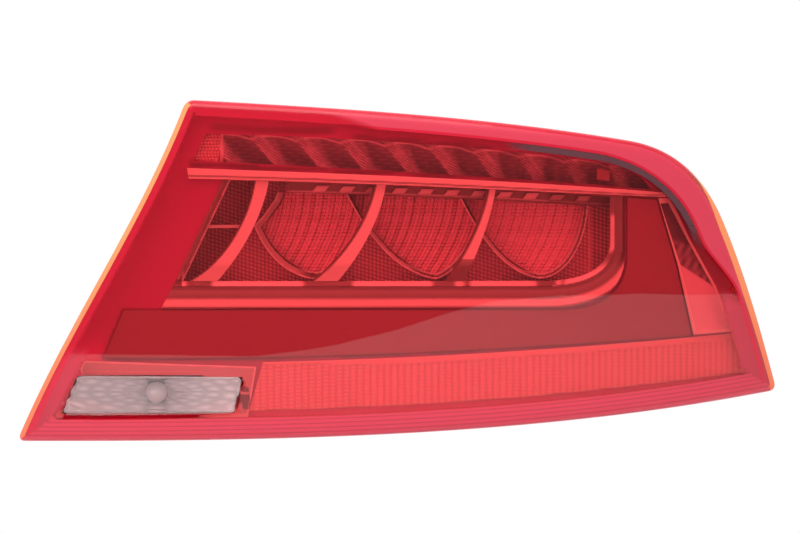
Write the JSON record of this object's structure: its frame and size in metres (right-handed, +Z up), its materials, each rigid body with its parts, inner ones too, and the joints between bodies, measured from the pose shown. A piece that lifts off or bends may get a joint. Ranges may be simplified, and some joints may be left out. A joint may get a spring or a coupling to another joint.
{
  "type": "tail light cluster",
  "caption": "Right-hand rear lamp cluster for a car: red wraparound lens over a turn strip, a bladed tail chamber, a reflex strip and a clear reversing light",
  "frame": {"origin": "foot of the main mounting stud, on the plane of the three stud bosses", "axes": "+X outboard to the right-hand side of the car, along the width; +Y to the front of the car, along the studs; +Z up"},
  "size_m": [0.4587, 0.1891, 0.2061],
  "materials": {
    "lens_red": "clear red moulding, polished",
    "lens_clear": "clear moulding, polished",
    "housing_black": "moulded, fine texture",
    "carrier_grey": "moulded",
    "bezel_satin": "satin metallised",
    "panel_gloss": "smooth metallised",
    "bright_trim": "bright metallised",
    "reflector_silver": "vacuum metallised",
    "optic_clear": "clear moulding with pillow optics",
    "reflex_red": "red moulding with corner-cube prisms",
    "board_green": "lacquered circuit board",
    "bulb_glass": "clear bulb",
    "holder_black": "moulded",
    "seal_rubber": "soft",
    "terminal_brass": "tinned edge, satin",
    "steel": "zinc plated"
  },
  "bodies": {
    "root": {"housing": "housing_black", "outer_lens": "lens_red", "reverse_window": "lens_clear", "main_bezel": "bezel_satin", "lower_panel": "panel_gloss", "trim_bar": "bright_trim", "turn_reflector": "reflector_silver", "turn_end_optic": "optic_clear", "turn_end_prism": "optic_clear", "turn_board": "board_green", "tail_frame": "bright_trim", "blade_1": "bright_trim", "blade_2": "bright_trim", "blade_3": "bright_trim", "bowl_rim_1": "bright_trim", "bowl_rim_2": "bright_trim", "bowl_rim_3": "bright_trim", "tail_optic_1": "optic_clear", "tail_optic_2": "optic_clear", "tail_optic_3": "optic_clear", "tail_pillow_optic": "optic_clear", "tail_ledge": "bright_trim", "top_louver": "bright_trim", "tail_reflector": "reflector_silver", "tail_board": "board_green", "carrier": "carrier_grey", "side_blade": "bright_trim", "side_blade_frame": "bright_trim", "reflex_reflector": "reflex_red", "reflex_backing": "reflector_silver", "reverse_frame": "bright_trim", "reverse_bowl": "reflector_silver", "reverse_bulb": "bulb_glass", "bulb_holder": "holder_black", "bulb_seal": "seal_rubber", "driver_cover": "housing_black", "driver_board": "board_green", "terminal_1": "terminal_brass", "terminal_2": "terminal_brass", "terminal_3": "terminal_brass", "terminal_4": "terminal_brass", "mounting_stud_1": "steel", "mounting_stud_2": "steel", "mounting_stud_3": "steel", "stud_seal_1": "seal_rubber", "stud_seal_2": "seal_rubber", "stud_seal_3": "seal_rubber", "vent_cap_1": "seal_rubber", "vent_cap_2": "seal_rubber", "carrier_screw_1": "steel", "carrier_screw_2": "steel", "carrier_screw_3": "steel", "carrier_screw_4": "steel", "cover_screw_1": "steel", "cover_screw_2": "steel", "cover_screw_3": "steel", "cover_screw_4": "steel"}
  },
  "joints": []
}
